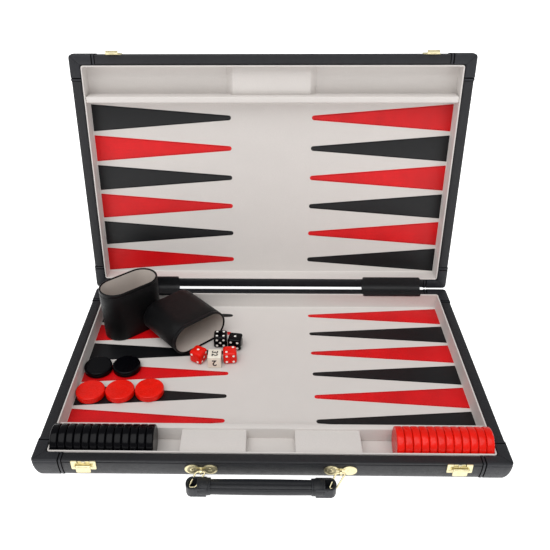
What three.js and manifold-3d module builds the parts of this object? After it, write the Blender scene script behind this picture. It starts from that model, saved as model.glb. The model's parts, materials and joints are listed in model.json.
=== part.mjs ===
// Backgammon case: two hinged trays in leatherette, lined with felt, with its checkers,
// dice, dice cups, latches and carrying handle. Millimetres, +Z up, origin at the centre
// of the underside of the lower tray. The handle side faces -Y and the hinges are at +Y.
import * as THREE from 'three';
import { mergeVertices } from 'three/addons/utils/BufferGeometryUtils.js';
import Module from 'manifold-3d';

const wasm = await Module();
wasm.setup();

// Driving dimensions of the case
const WIDTH = 457;
const DEPTH = 293;
const HALF_HEIGHT = 24.4;
const RECESS_DEPTH = 20;
const SIDE_WALL = 11.9;
const END_WALL = 11.2;
const LINING = 1.2;
const GAP = 0.3;
const CORNER_RADIUS = 4;
const POCKET_RADIUS = 2.2;
const LINING_RADIUS = 1.3;
const BOTTOM_RADIUS = 8;
const RIM_RADIUS = 1.6;
const LINING_PROUD = 0.3;

// Hinge line and the angle at which the lid stands
const HINGE_BEHIND = 1.3;
const HINGE_ABOVE = 0.9;
const LID_ANGLE = 95.8;

// Rail across the handle side of each tray: a bar with a trough in front of it
const RAIL_FROM_FRONT = 46.4;
const RAIL_THICKNESS = 7;
const BASE_RAIL_DROP = 3;
const LID_RAIL_DROP = 0.6;
const BLOCK_INNER = 24.2;
const BLOCK_OUTER = 89.5;
const BLOCK_HEIGHT = 14.6;
const MIDDLE_HEIGHT = 3.3;
const LID_BLOCK_TOP = 44.8;
const LID_BLOCK_FOOT = 52.4;
const LID_BLOCK_HEIGHT = 10;

// Playing pieces
const CHECKER_RADIUS = 16;
const CHECKER_HEIGHT = 7.5;
const STACK_PITCH = 7.8;
const BLACK_IN_RAIL = 13;
const RED_IN_RAIL = 12;
const DIE_SIZE = 16;
const DOUBLING_CUBE_SIZE = 15.5;
const CUP_HALF_LENGTH = 37.7;
const CUP_HALF_THICKNESS = 20;
const CUP_HEIGHT = 67.5;
const CUP_DRAFT = 0.5;
const CUP_WALL = 2.4;
const CUP_FLOOR = 3;

// Worked out from them
const FRONT = -DEPTH / 2;
const FLOOR = HALF_HEIGHT - RECESS_DEPTH;
const LINING_HALF_X = WIDTH / 2 - SIDE_WALL - GAP - LINING;
const LINING_HALF_Y = DEPTH / 2 - END_WALL - GAP - LINING;
const RAIL_FRONT = FRONT + RAIL_FROM_FRONT;
const RESTING = FLOOR + GAP;
const DEGREE = Math.PI / 180;

// ---------- materials ----------

function finish(color, roughness, metalness = 0) {
  return new THREE.MeshStandardMaterial({ color, roughness, metalness });
}

const leatherette = finish(0x24262a, 0.55);
const felt = finish(0xd2ccc6, 0.95);
const brass = finish(0xd9c27a, 0.28, 1);
const steel = finish(0xb8bcc0, 0.3, 1);
const blackGloss = finish(0x0d0e12, 0.18);
const redGloss = finish(0xdf2a1a, 0.2);
const ivory = finish(0xece7d8, 0.4);

// ---------- geometry helpers ----------

function roundedRectangle(halfX, halfY, radius, steps = 4) {
  const points = [];
  const centres = [[1, -1], [1, 1], [-1, 1], [-1, -1]];
  centres.forEach(([sx, sy], corner) => {
    for (let i = 0; i <= steps; i += 1) {
      const angle = (corner - 1 + i / steps) * 90 * DEGREE;
      const x = sx * (halfX - radius) + radius * Math.cos(angle);
      const y = sy * (halfY - radius) + radius * Math.sin(angle);
      points.push(new THREE.Vector2(x, y));
    }
  });
  return points;
}

function stadium(halfLength, halfWidth, steps = 10) {
  const points = [];
  for (const side of [1, -1]) {
    for (let i = 0; i <= steps; i += 1) {
      const angle = (i / steps - 0.5) * 180 * DEGREE;
      const x = side * (halfLength - halfWidth + halfWidth * Math.cos(angle));
      points.push(new THREE.Vector2(x, side * halfWidth * Math.sin(angle)));
    }
  }
  return points;
}

// A closed solid through rings of equal point counts, flat at its first and last ring.
function loft(rings) {
  const count = rings[0].points.length;
  const positions = rings.flatMap(({ points, z }) => points.flatMap((p) => [p.x, p.y, z]));
  const index = [];
  for (let i = 1; i < count - 1; i += 1) {
    const last = (rings.length - 1) * count;
    index.push(0, i + 1, i, last, last + i, last + i + 1);
  }
  for (let ring = 0; ring < rings.length - 1; ring += 1) {
    for (let i = 0; i < count; i += 1) {
      const a = ring * count + i;
      const b = ring * count + ((i + 1) % count);
      index.push(a, b, b + count, a, b + count, a + count);
    }
  }
  const geometry = new THREE.BufferGeometry();
  geometry.setAttribute('position', new THREE.Float32BufferAttribute(positions, 3));
  geometry.setIndex(index);
  return geometry;
}

function box(x0, x1, y0, y1, z0, z1) {
  const geometry = new THREE.BoxGeometry(x1 - x0, y1 - y0, z1 - z0);
  return geometry.translate((x0 + x1) / 2, (y0 + y1) / 2, (z0 + z1) / 2);
}

function rodAlongX(x0, x1, y, z, radius, sides = 12) {
  const geometry = new THREE.CylinderGeometry(radius, radius, x1 - x0, sides);
  return geometry.rotateZ(90 * DEGREE).translate((x0 + x1) / 2, y, z);
}

const WELD = 1e-4;

function toManifold(geometry) {
  const plain = geometry.clone();
  plain.deleteAttribute('normal');
  plain.deleteAttribute('uv');
  const merged = mergeVertices(plain, WELD);
  const vertProperties = new Float32Array(merged.attributes.position.array);
  const triVerts = new Uint32Array(merged.index.array);
  return new wasm.Manifold(new wasm.Mesh({ numProp: 3, vertProperties, triVerts }));
}

function toGeometry(manifold) {
  const mesh = manifold.getMesh();
  const geometry = new THREE.BufferGeometry();
  geometry.setAttribute('position', new THREE.Float32BufferAttribute(mesh.vertProperties, 3));
  geometry.setIndex(Array.from(mesh.triVerts));
  return geometry;
}

function combine(joined, removed = []) {
  const whole = joined.map(toManifold).reduce((a, b) => a.add(b));
  return toGeometry(removed.map(toManifold).reduce((a, b) => a.subtract(b), whole));
}

function add(parent, name, geometry, material, place = {}) {
  const mesh = new THREE.Mesh(geometry, material);
  mesh.name = name;
  mesh.position.set(...(place.at ?? [0, 0, 0]));
  mesh.rotation.set(...(place.turn ?? [0, 0, 0]).map((angle) => angle * DEGREE));
  parent.add(mesh);
  return mesh;
}

// ---------- the two trays ----------

// Seen with its open side up: outer face at z = 0, rim at z = HALF_HEIGHT.
function shellGeometry() {
  const ring = (inset, z, radius = CORNER_RADIUS, endInset = inset) => ({
    points: roundedRectangle(WIDTH / 2 - inset, DEPTH / 2 - endInset, radius),
    z,
  });
  const softening = 0.3 * RIM_RADIUS;
  const rings = [];
  const steps = 4;
  for (let i = 0; i <= steps; i += 1) {
    const angle = (i / steps) * 90 * DEGREE;
    const inset = BOTTOM_RADIUS * (1 - Math.sin(angle));
    rings.push(ring(inset, BOTTOM_RADIUS * (1 - Math.cos(angle))));
  }
  rings.push(ring(0, HALF_HEIGHT - RIM_RADIUS));
  rings.push(ring(softening, HALF_HEIGHT - softening));
  rings.push(ring(RIM_RADIUS, HALF_HEIGHT));
  rings.push(ring(SIDE_WALL, HALF_HEIGHT, POCKET_RADIUS, END_WALL));
  rings.push(ring(SIDE_WALL, FLOOR - LINING - GAP, POCKET_RADIUS, END_WALL));
  return loft(rings);
}

function liningGeometry() {
  const ring = (grow, z) => ({
    points: roundedRectangle(LINING_HALF_X + grow, LINING_HALF_Y + grow, LINING_RADIUS + grow, 2),
    z,
  });
  const top = HALF_HEIGHT + LINING_PROUD;
  return loft([ring(LINING, FLOOR - LINING), ring(LINING, top), ring(0, top), ring(0, FLOOR)]);
}

function railBar(drop) {
  const half = LINING_HALF_X - GAP;
  const top = HALF_HEIGHT - drop;
  return box(-half, half, RAIL_FRONT, RAIL_FRONT + RAIL_THICKNESS, RESTING, top);
}

const TROUGH_FRONT = -LINING_HALF_Y + GAP;
// Pieces of one solid reach BITE into each other, and cuts run OVERCUT past its faces.
const BITE = 0.5;
const OVERCUT = 1;

function baseRailGeometry() {
  const blocks = [-1, 1].map((side) => {
    const [x0, x1] = [side * BLOCK_INNER, side * BLOCK_OUTER].sort((a, b) => a - b);
    return box(x0, x1, TROUGH_FRONT, RAIL_FRONT + BITE, RESTING, FLOOR + BLOCK_HEIGHT);
  });
  const inner = BLOCK_INNER + BITE;
  const top = FLOOR + MIDDLE_HEIGHT;
  const middle = box(-inner, inner, TROUGH_FRONT, RAIL_FRONT + BITE, RESTING, top);
  return combine([railBar(BASE_RAIL_DROP), ...blocks, middle]);
}

function lidRailGeometry() {
  const outline = new THREE.Shape([
    new THREE.Vector2(-LID_BLOCK_FOOT, RESTING),
    new THREE.Vector2(LID_BLOCK_FOOT, RESTING),
    new THREE.Vector2(LID_BLOCK_TOP, FLOOR + LID_BLOCK_HEIGHT),
    new THREE.Vector2(-LID_BLOCK_TOP, FLOOR + LID_BLOCK_HEIGHT),
  ]);
  const depth = RAIL_FRONT + BITE - TROUGH_FRONT;
  const block = new THREE.ExtrudeGeometry(outline, { depth, bevelEnabled: false });
  block.rotateX(90 * DEGREE).translate(0, RAIL_FRONT + BITE, 0);
  return combine([railBar(LID_RAIL_DROP), block]);
}

function addTray(parent, name, railGeometry) {
  add(parent, `${name}_shell`, shellGeometry(), leatherette);
  add(parent, `${name}_lining`, liningGeometry(), felt);
  add(parent, `${name}_rail`, railGeometry, felt);
}

// ---------- hinges: two butt hinges with loose pins, under the leatherette wraps ----------

const HINGE_X = 156.5;
const HINGE_LENGTH = 70;
const KNUCKLES = 5;
const KNUCKLE_RADIUS = 1.1;
const KNUCKLE_BORE = 0.75;
const HINGE_PIN_RADIUS = 0.5;
const KNUCKLE_CLEARANCE = 0.4;
const LEAF_WIDTH = 8.6;
const LEAF_THICKNESS = 0.5;
const LEAF_LIFT = 0.2;
const LEAF_CLEARANCE = 0.3;

// Around the hinge axis at y = z = 0, with the leaf on a rim plane HINGE_ABOVE below it.
function hingeLeafGeometry(firstKnuckle) {
  const bottom = -HINGE_ABOVE + LEAF_LIFT;
  const top = bottom + LEAF_THICKNESS;
  const edge = -KNUCKLE_RADIUS - LEAF_CLEARANCE;
  const pieces = [box(-HINGE_LENGTH / 2, HINGE_LENGTH / 2, edge - LEAF_WIDTH, edge, bottom, top)];
  const bores = [];
  const pitch = HINGE_LENGTH / KNUCKLES;
  for (let i = firstKnuckle; i < KNUCKLES; i += 2) {
    const x0 = -HINGE_LENGTH / 2 + i * pitch + KNUCKLE_CLEARANCE / 2;
    const x1 = x0 + pitch - KNUCKLE_CLEARANCE;
    pieces.push(rodAlongX(x0, x1, 0, 0, KNUCKLE_RADIUS));
    pieces.push(box(x0, x1, edge - BITE, -KNUCKLE_BORE, bottom, top));
    bores.push(rodAlongX(x0 - OVERCUT, x1 + OVERCUT, 0, 0, KNUCKLE_BORE));
  }
  return combine(pieces, bores);
}

function hingePinGeometry() {
  return rodAlongX(-HINGE_LENGTH / 2, HINGE_LENGTH / 2, 0, 0, HINGE_PIN_RADIUS, 10);
}

// ---------- latches: plate with a pivot rod, thumb lever, and a catch on the lid ----------

const LATCH_X = 178.6;
const PLATE_HALF_WIDTH = 12;
const PLATE_BOTTOM = 13.4;
const PLATE_TOP = 24.2;
const PLATE_THICKNESS = 0.8;
const PLATE_FACE = FRONT - GAP - PLATE_THICKNESS;
const NOTCH_HALF_WIDTH = 6;
const NOTCH_BOTTOM = 20.9;
const LEVER_HALF_WIDTH = 7;
const LEVER_AXIS = { y: FRONT - 2.7, z: 18.9 };
const LEVER_RADIUS = 1.3;
const LEVER_BORE = 0.8;
const LEVER_ROD_RADIUS = 0.55;
const LEVER_THICKNESS = 1.1;
const LEVER_BOTTOM = 11.9;
const EAR_THICKNESS = 1.2;
const CATCH_HALF_WIDTH = 9.5;
const CATCH_HEIGHT = 7.5;
const CATCH_DROP = 1.4;
const TONGUE_HALF_WIDTH = 4;
const TONGUE_THICKNESS = 1;
const TONGUE_REACH = 4.6;
const TONGUE_ROOT = 3;
const TONGUE_STEP = 0.6;
const LIP_HALF_WIDTH = 7;
const LIP_REACH = 3.2;
const LIP_THICKNESS = 1.1;

function latchPlateGeometry() {
  const { y, z } = LEVER_AXIS;
  const back = FRONT - GAP;
  const plate = box(-PLATE_HALF_WIDTH, PLATE_HALF_WIDTH, PLATE_FACE, back, PLATE_BOTTOM, PLATE_TOP);
  const ears = [-1, 1].map((side) => {
    const near = side * (LEVER_HALF_WIDTH + GAP);
    const far = near + side * EAR_THICKNESS;
    const [x0, x1] = [Math.min(near, far), Math.max(near, far)];
    return box(x0, x1, y - LEVER_RADIUS, PLATE_FACE + BITE, z - LEVER_RADIUS, z + LEVER_RADIUS);
  });
  const reach = LEVER_HALF_WIDTH + GAP + EAR_THICKNESS / 2;
  const rod = rodAlongX(-reach, reach, y, z, LEVER_ROD_RADIUS, 10);
  const width = NOTCH_HALF_WIDTH;
  const [notchFront, notchBack] = [PLATE_FACE - OVERCUT, back + OVERCUT];
  const notch = box(-width, width, notchFront, notchBack, NOTCH_BOTTOM, PLATE_TOP + OVERCUT);
  return combine([plate, ...ears, rod], [notch]);
}

function latchLeverGeometry() {
  const { y, z } = LEVER_AXIS;
  const width = LEVER_HALF_WIDTH;
  const face = y - LEVER_RADIUS;
  const tab = box(-width, width, face, face + LEVER_THICKNESS, LEVER_BOTTOM, z);
  const barrel = rodAlongX(-width, width, y, z, LEVER_RADIUS);
  return combine([tab, barrel], [rodAlongX(-width - OVERCUT, width + OVERCUT, y, z, LEVER_BORE)]);
}

// In the lid's tray frame: its front face is at y = FRONT and its rim at z = HALF_HEIGHT.
function lidCatchGeometry() {
  const back = FRONT - GAP;
  const width = CATCH_HALF_WIDTH;
  const top = HALF_HEIGHT - CATCH_DROP;
  const plate = box(-width, width, PLATE_FACE, back, top - CATCH_HEIGHT, top);
  const tongueBack = PLATE_FACE - GAP;
  const tongueFront = tongueBack - TONGUE_THICKNESS;
  const tip = HALF_HEIGHT + TONGUE_REACH;
  const root = top - TONGUE_ROOT;
  const half = TONGUE_HALF_WIDTH;
  const tongue = box(-half, half, tongueFront, tongueBack, root, tip);
  const step = box(-half, half, tongueBack - BITE, PLATE_FACE + BITE / 2, root, top - TONGUE_STEP);
  const lipWidth = LIP_HALF_WIDTH;
  const lip = box(-lipWidth, lipWidth, tongueFront - LIP_REACH, tongueBack, tip - LIP_THICKNESS, tip);
  return combine([plate, tongue, step, lip]);
}

// ---------- handle: two plates with eyes, two wire rings and a padded grip ----------

const HANDLE_PLATE_X = 66.4;
const HANDLE_PLATE_Z = 14.6;
const LOBE_OFFSET = 8.6;
const LOBE_HALF_LENGTH = 7.2;
const LOBE_HALF_HEIGHT = 6;
const WAIST_SHARE = 0.45;
const HANDLE_AXIS_Y = FRONT - 4;
const EYE_HALF_WIDTH = 1.1;
const EYE_RADIUS = 2.5;
const EYE_BORE = 1.6;
const NECK_HALF_HEIGHT = 2;
const WIRE_RADIUS = 0.9;
const GRIP = { x: -9.2, y: FRONT - 14.6, z: 6.8, halfLength: 71, halfWidth: 8, halfHeight: 6.3 };
const RING_SHIFT = -8;
const RING_TOP_HALF = 4.6;
const RING_LOW_HALF = 3.2;
const BAR_BEND = 0.36;
const SIDE_BEND = 0.16;
const RING_STEPS = 40;
const SOCKET_HALF_X = 4.6;
const SOCKET_DEPTH = 2.4;
const RING_LEAN = 5.6;

function handlePlateGeometry() {
  const outline = new THREE.Shape();
  const waist = LOBE_HALF_HEIGHT * WAIST_SHARE;
  const spread = Math.asin(WAIST_SHARE);
  const [long, high] = [LOBE_HALF_LENGTH, LOBE_HALF_HEIGHT];
  outline.absellipse(LOBE_OFFSET, 0, long, high, -Math.PI + spread, Math.PI - spread, false);
  outline.lineTo(0, waist);
  outline.absellipse(-LOBE_OFFSET, 0, long, high, spread, -spread, false);
  outline.lineTo(0, -waist);
  const options = { depth: PLATE_THICKNESS, bevelEnabled: false, curveSegments: 10 };
  const plate = new THREE.ExtrudeGeometry(outline, options);
  plate.rotateX(90 * DEGREE).translate(0, FRONT - GAP, HANDLE_PLATE_Z);
  const z = HANDLE_PLATE_Z;
  const half = EYE_HALF_WIDTH;
  const eye = rodAlongX(-half, half, HANDLE_AXIS_Y, z, EYE_RADIUS);
  const [low, top] = [z - NECK_HALF_HEIGHT, z + NECK_HALF_HEIGHT];
  const neck = box(-half, half, HANDLE_AXIS_Y, PLATE_FACE + BITE, low, top);
  const bore = rodAlongX(-half - OVERCUT, half + OVERCUT, HANDLE_AXIS_Y, z, EYE_BORE);
  return combine([plate, eye, neck], [bore]);
}

// A closed wire loop: one bar in the plate's eye, the other in the socket of the grip.
function handleRingGeometry() {
  const top = new THREE.Vector3(0, HANDLE_AXIS_Y, HANDLE_PLATE_Z);
  const low = new THREE.Vector3(RING_SHIFT, GRIP.y, GRIP.z);
  const wide = new THREE.Vector3(RING_TOP_HALF, 0, 0);
  const narrow = new THREE.Vector3(RING_LOW_HALF, 0, 0);
  const corners = [
    top.clone().sub(wide), top.clone().add(wide),
    low.clone().add(narrow), low.clone().sub(narrow),
  ];
  const path = new THREE.CurvePath();
  corners.forEach((corner, i) => {
    const next = corners[(i + 1) % 4];
    const after = corners[(i + 2) % 4];
    const [here, ahead] = i % 2 === 0 ? [BAR_BEND, SIDE_BEND] : [SIDE_BEND, BAR_BEND];
    const start = corner.clone().lerp(next, here);
    const end = next.clone().lerp(corner, here);
    const turned = next.clone().lerp(after, ahead);
    path.add(new THREE.LineCurve3(start, end));
    path.add(new THREE.QuadraticBezierCurve3(end, next, turned));
  });
  return wireLoop(path.getSpacedPoints(RING_STEPS).slice(0, RING_STEPS), WIRE_RADIUS, 8);
}

// A closed tube round a flat loop of points, joined end to end.
function wireLoop(points, radius, sides) {
  const normal = new THREE.Vector3();
  points.forEach((point, i) => normal.add(point.clone().cross(points[(i + 1) % points.length])));
  normal.normalize();
  const positions = [];
  const index = [];
  const count = points.length;
  points.forEach((point, i) => {
    const tangent = points[(i + 1) % count].clone().sub(points[(i + count - 1) % count]);
    const outward = tangent.normalize().clone().cross(normal);
    for (let j = 0; j < sides; j += 1) {
      const angle = (j / sides) * 360 * DEGREE;
      const offset = outward.clone().multiplyScalar(Math.cos(angle) * radius);
      offset.addScaledVector(normal, Math.sin(angle) * radius);
      positions.push(...point.clone().add(offset).toArray());
      const a = i * sides + j;
      const b = i * sides + ((j + 1) % sides);
      const c = ((i + 1) % count) * sides + j;
      const d = ((i + 1) % count) * sides + ((j + 1) % sides);
      index.push(a, d, b, a, c, d);
    }
  });
  const geometry = new THREE.BufferGeometry();
  geometry.setAttribute('position', new THREE.Float32BufferAttribute(positions, 3));
  geometry.setIndex(index);
  return geometry;
}

function gripGeometry() {
  const outline = new THREE.Shape();
  outline.absellipse(0, 0, GRIP.halfWidth, GRIP.halfHeight, 0, 2 * Math.PI, false);
  const options = { depth: 2 * GRIP.halfLength, bevelEnabled: false, curveSegments: 8 };
  const body = new THREE.ExtrudeGeometry(outline, options);
  body.rotateX(90 * DEGREE).rotateZ(90 * DEGREE).translate(-GRIP.halfLength, 0, 0);
  body.translate(GRIP.x, GRIP.y, GRIP.z);
  const sockets = [-1, 1].map((side) => {
    const x = side * HANDLE_PLATE_X + RING_SHIFT;
    return box(
      x - SOCKET_HALF_X, x + SOCKET_HALF_X + RING_LEAN,
      GRIP.y - SOCKET_DEPTH, GRIP.y + GRIP.halfWidth + OVERCUT,
      GRIP.z - SOCKET_DEPTH, GRIP.z + GRIP.halfHeight + OVERCUT,
    );
  });
  return combine([body], sockets);
}

// ---------- playing pieces ----------

function checkerGeometry() {
  return new THREE.CylinderGeometry(CHECKER_RADIUS, CHECKER_RADIUS, CHECKER_HEIGHT, 24);
}

// Foot at z = 0, mouth at the top, long side along X.
function cupGeometry() {
  const ring = (inset, z) => ({
    points: stadium(CUP_HALF_LENGTH - inset, CUP_HALF_THICKNESS - inset),
    z,
  });
  const outerFoot = ring(CUP_DRAFT, 0);
  const outerMouth = ring(0, CUP_HEIGHT);
  const innerMouth = ring(CUP_WALL, CUP_HEIGHT);
  const innerFoot = ring(CUP_WALL + CUP_DRAFT, CUP_FLOOR);
  return loft([outerFoot, outerMouth, innerMouth, innerFoot]);
}

const BOARD_CHECKERS = {
  black: [[-198.7, 6.4], [-166.3, 8.4]],
  red: [[-198.7, -34.7], [-166.3, -33.4], [-133.9, -31.2]],
};
const DICE = [
  ['die_black_1', blackGloss, DIE_SIZE, [-60.3, 55.2], 0],
  ['die_black_2', blackGloss, DIE_SIZE, [-42.4, 50.5], -8.6],
  ['die_red_1', redGloss, DIE_SIZE, [-84.4, 25.2], -30],
  ['die_red_2', redGloss, DIE_SIZE, [-47.6, 25.3], 5.7],
  ['doubling_cube', ivory, DOUBLING_CUBE_SIZE, [-64.9, 18.6], 0],
];
const STANDING_CUP = { at: [-172.5, 90.8, RESTING], yaw: 40.2 };
const LYING_CUP = { at: [-128.8, 100.95, RESTING + CUP_HALF_THICKNESS], heading: -48 };

function addCheckers(parent, color, side, inRail, material) {
  const y = (TROUGH_FRONT - GAP + RAIL_FRONT) / 2;
  const first = LINING_HALF_X - GAP - CHECKER_HEIGHT / 2;
  const number = (i) => String(i + 1).padStart(2, '0');
  for (let i = 0; i < inRail; i += 1) {
    const at = [side * (first - i * STACK_PITCH), y, RESTING + CHECKER_RADIUS];
    add(parent, `checker_${color}_${number(i)}`, checkerGeometry(), material, { at, turn: [0, 0, 90] });
  }
  BOARD_CHECKERS[color].forEach(([x, yBoard], i) => {
    const at = [x, yBoard, RESTING + CHECKER_HEIGHT / 2];
    const name = `checker_${color}_${number(inRail + i)}`;
    add(parent, name, checkerGeometry(), material, { at, turn: [90, 0, 0] });
  });
}

// ---------- assembly ----------

const backgammonCase = new THREE.Group();

addTray(backgammonCase, 'base', baseRailGeometry());

const hingeLine = [0, DEPTH / 2 + HINGE_BEHIND, HALF_HEIGHT + HINGE_ABOVE];

// The lid turns about the hinge line; inside it, the lid tray is a base tray turned over.
const lid = new THREE.Group();
lid.position.set(...hingeLine);
lid.rotation.x = -LID_ANGLE * DEGREE;
backgammonCase.add(lid);
const lidTray = new THREE.Group();
lidTray.rotation.y = 180 * DEGREE;
lidTray.position.set(0, -hingeLine[1], HALF_HEIGHT + HINGE_ABOVE);
lid.add(lidTray);
addTray(lidTray, 'lid', lidRailGeometry());

for (const [side, word] of [[-1, 'left'], [1, 'right']]) {
  const hingeAt = [side * HINGE_X, hingeLine[1], hingeLine[2]];
  add(backgammonCase, `hinge_leaf_base_${word}`, hingeLeafGeometry(0), brass, { at: hingeAt });
  add(backgammonCase, `hinge_pin_${word}`, hingePinGeometry(), steel, { at: hingeAt });
  add(lid, `hinge_leaf_lid_${word}`, hingeLeafGeometry(1), brass, {
    at: [side * HINGE_X, 0, 0], turn: [0, 180, 0],
  });

  add(backgammonCase, `latch_plate_${word}`, latchPlateGeometry(), brass, {
    at: [side * LATCH_X, 0, 0],
  });
  add(backgammonCase, `latch_lever_${word}`, latchLeverGeometry(), brass, {
    at: [side * LATCH_X, 0, 0],
  });
  add(lidTray, `lid_catch_${word}`, lidCatchGeometry(), brass, { at: [-side * LATCH_X, 0, 0] });

  add(backgammonCase, `handle_plate_${word}`, handlePlateGeometry(), brass, {
    at: [side * HANDLE_PLATE_X, 0, 0],
  });
  add(backgammonCase, `handle_ring_${word}`, handleRingGeometry(), brass, {
    at: [side * HANDLE_PLATE_X, 0, 0],
  });
}
add(backgammonCase, 'handle_grip', gripGeometry(), leatherette);

addCheckers(backgammonCase, 'black', -1, BLACK_IN_RAIL, blackGloss);
addCheckers(backgammonCase, 'red', 1, RED_IN_RAIL, redGloss);

for (const [name, material, size, [x, y], yaw] of DICE) {
  const at = [x, y, RESTING + size / 2];
  add(backgammonCase, name, new THREE.BoxGeometry(size, size, size), material, {
    at, turn: [0, 0, yaw],
  });
}

add(backgammonCase, 'dice_cup_standing', cupGeometry(), leatherette, {
  at: STANDING_CUP.at, turn: [0, 0, STANDING_CUP.yaw],
});
const lyingCup = new THREE.Group();
lyingCup.position.set(...LYING_CUP.at);
lyingCup.rotation.z = (LYING_CUP.heading - 90) * DEGREE;
backgammonCase.add(lyingCup);
add(lyingCup, 'dice_cup_lying', cupGeometry(), leatherette, { turn: [-90, 0, 0] });

export default backgammonCase;
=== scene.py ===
"""Looks of the backgammon case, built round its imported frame. MM turns its millimetres into metres."""

import json
from math import asin, copysign, cos, degrees, pi, radians, sin, sqrt

import bmesh
import bpy
from mathutils import Matrix, Vector

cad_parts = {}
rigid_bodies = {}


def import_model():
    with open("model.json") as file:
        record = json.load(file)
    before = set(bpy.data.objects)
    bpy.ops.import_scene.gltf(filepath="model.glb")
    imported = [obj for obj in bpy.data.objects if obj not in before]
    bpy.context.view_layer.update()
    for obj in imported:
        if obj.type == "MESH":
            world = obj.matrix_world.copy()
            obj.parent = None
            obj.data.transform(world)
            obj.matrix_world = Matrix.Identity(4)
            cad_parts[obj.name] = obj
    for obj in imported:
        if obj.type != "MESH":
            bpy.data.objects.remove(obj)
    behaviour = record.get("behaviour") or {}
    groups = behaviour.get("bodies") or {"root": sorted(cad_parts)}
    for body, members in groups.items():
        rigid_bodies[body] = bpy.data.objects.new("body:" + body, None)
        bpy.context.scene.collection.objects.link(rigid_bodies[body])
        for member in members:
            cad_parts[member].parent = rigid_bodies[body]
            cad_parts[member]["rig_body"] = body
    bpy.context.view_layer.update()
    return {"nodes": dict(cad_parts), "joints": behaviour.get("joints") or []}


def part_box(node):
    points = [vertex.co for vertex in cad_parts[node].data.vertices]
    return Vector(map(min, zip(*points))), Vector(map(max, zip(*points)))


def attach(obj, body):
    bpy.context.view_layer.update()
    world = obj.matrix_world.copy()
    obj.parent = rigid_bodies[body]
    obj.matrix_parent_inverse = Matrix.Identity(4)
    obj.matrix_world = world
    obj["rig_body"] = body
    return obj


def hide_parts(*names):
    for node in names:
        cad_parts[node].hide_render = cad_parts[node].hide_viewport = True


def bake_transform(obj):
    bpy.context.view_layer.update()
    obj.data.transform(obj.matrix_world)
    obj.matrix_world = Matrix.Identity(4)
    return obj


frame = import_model()

MM = 0.001

# ---------- driving dimensions, as in the frame ----------

shell_low, shell_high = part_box("base_shell")
HALF_WIDTH = shell_high.x / MM
HALF_DEPTH = (shell_high.y - shell_low.y) / 2 / MM
RIM_Z = shell_high.z / MM
FRONT = -HALF_DEPTH
FLOOR = 4.4
SIDE_WALL = 11.9
END_WALL = 11.2
CORNER_RADIUS = 4.0
POCKET_RADIUS = 2.2
CROWN = 7.0
RIM_RADIUS = 1.0
GROOVE_DROP = 2.8
GROOVE_DEPTH = 1.1
RIM_EDGE_Z = RIM_Z - 1.2
FIT_GAP = 0.3
LINING = 1.2
LINING_HALF_X = HALF_WIDTH - SIDE_WALL - FIT_GAP - LINING
LINING_HALF_Y = HALF_DEPTH - END_WALL - FIT_GAP - LINING
LINING_RADIUS = 1.3
BACK_SWELL = 0.5
BACK_REACH = 8.0

joints = {joint["name"]: joint for joint in frame["joints"]}
HINGE_Y, HINGE_Z = [value / MM for value in joints["lid_hinge"]["pos_m"][1:]]
LID_ANGLE = 95.8


def turned(axis, angle):
    return Matrix.Rotation(radians(angle), 4, axis)


def moved(x, y, z):
    return Matrix.Translation(Vector((x, y, z)) * MM)


# Each tray is built open side up with its front at -Y. The lid's is the same tray turned over.
LID_SWUNG = moved(0, HINGE_Y, HINGE_Z) @ turned("X", -LID_ANGLE) @ moved(0, -HINGE_Y, HINGE_Z)
TRAYS = {"base": Matrix.Identity(4), "lid": LID_SWUNG @ turned("Y", 180)}


SIDES = ((-1, "left"), (1, "right"))


def placed(name, data, place=None):
    """An object for data, in the scene."""
    made = bpy.data.objects.new(name, data)
    bpy.context.scene.collection.objects.link(made)
    if place:
        made.matrix_world = place
    return made


def finished(name, mesh):
    """A mesh in metres from one built in millimetres, which is used up."""
    data = bpy.data.meshes.new(name)
    mesh.to_mesh(data)
    mesh.free()
    data.transform(Matrix.Scale(MM, 4))
    return data


# ---------- materials ----------


def srgb(red, green, blue):
    """A linear colour from one given in the usual 0 to 255 screen values."""
    def linear(value):
        value /= 255
        return value / 12.92 if value <= 0.04045 else ((value + 0.055) / 1.055) ** 2.4
    return (linear(red), linear(green), linear(blue), 1.0)


def scaled(color, factor):
    return (*[min(1.0, part * factor) for part in color[:3]], 1.0)


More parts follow.
